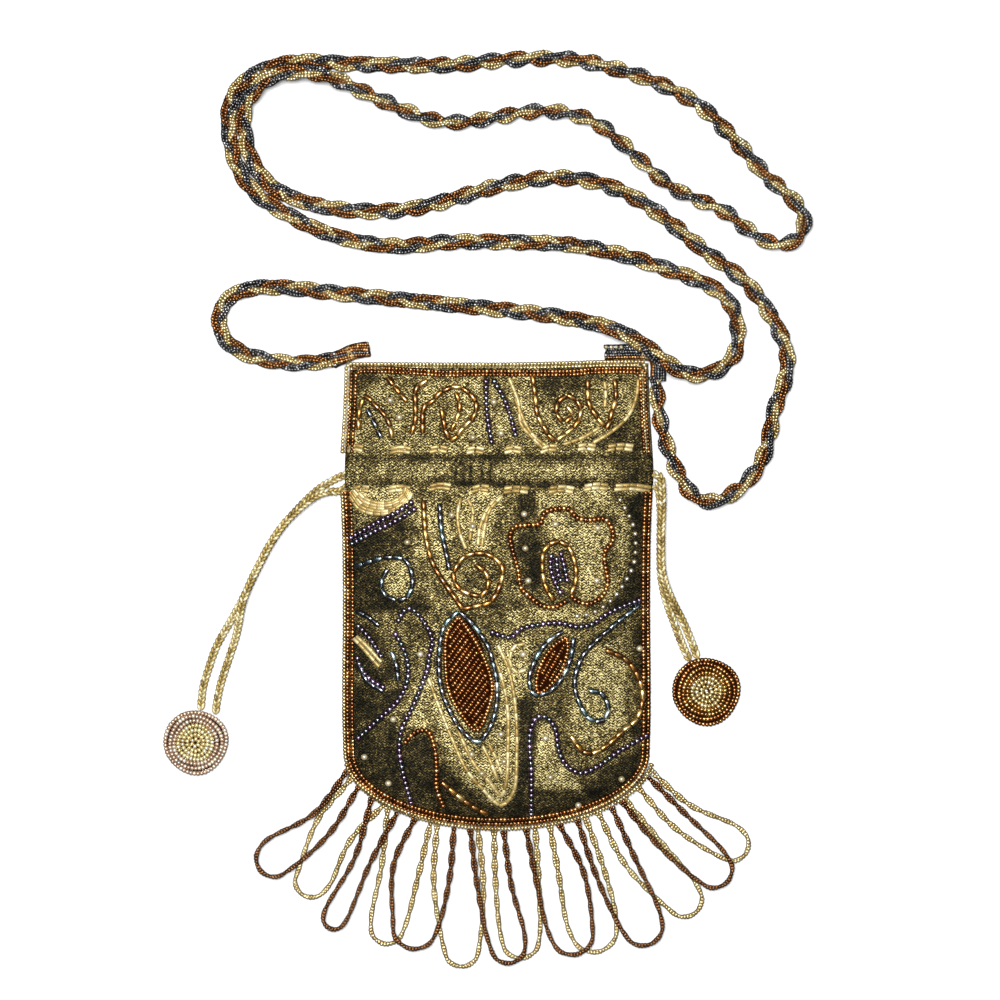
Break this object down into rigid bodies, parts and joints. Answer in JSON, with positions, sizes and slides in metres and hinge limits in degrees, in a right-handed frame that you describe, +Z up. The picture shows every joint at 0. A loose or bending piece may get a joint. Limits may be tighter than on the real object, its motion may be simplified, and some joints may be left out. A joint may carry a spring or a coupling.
{
  "type": "beaded drawstring bag",
  "caption": "Flat rounded brocade pouch with bead embroidery, a braided bead strap, a looped bead fringe and drawstrings that end in beaded discs, lying on its back.",
  "frame": {"origin": "middle of the pouch's back face, on the surface that the bag lies on", "axes": "+Y from the fringe to the mouth, +X to the right as the front is seen, +Z up through the front"},
  "size_m": [0.2335, 0.3306, 0.0133],
  "materials": {
    "brocade": "metallic thread brocade, glittering weave",
    "back_cloth": "metallic thread brocade, plain back",
    "gold_beads": "lined glass seed beads, champagne gold",
    "bronze_beads": "lustred glass seed beads, bronze",
    "dark_beads": "lustred glass seed beads, gunmetal",
    "gold_cord": "braided metallic cord"
  },
  "bodies": {
    "root": {"back_panel": "back_cloth", "front_panel": "brocade", "edge_gold_top": "gold_beads", "edge_gold_lower": "gold_beads", "edge_bronze_top": "bronze_beads", "edge_bronze_lower": "bronze_beads", "leaf_large": "bronze_beads", "leaf_small": "bronze_beads", "strap_gold_out": "gold_beads", "strap_gold_back": "gold_beads", "strap_bronze_out": "bronze_beads", "strap_bronze_back": "bronze_beads", "strap_dark_out": "dark_beads", "strap_dark_back": "dark_beads", "strap_end_left": "dark_beads", "strap_end_right": "dark_beads", "drawstring_left_a": "gold_cord", "drawstring_left_b": "gold_cord", "drawstring_right_a": "gold_cord", "drawstring_right_b": "gold_cord", "medallion_left": "gold_beads", "medallion_right": "gold_beads", "fringe_gold": "gold_beads", "fringe_bronze": "bronze_beads"}
  },
  "joints": []
}
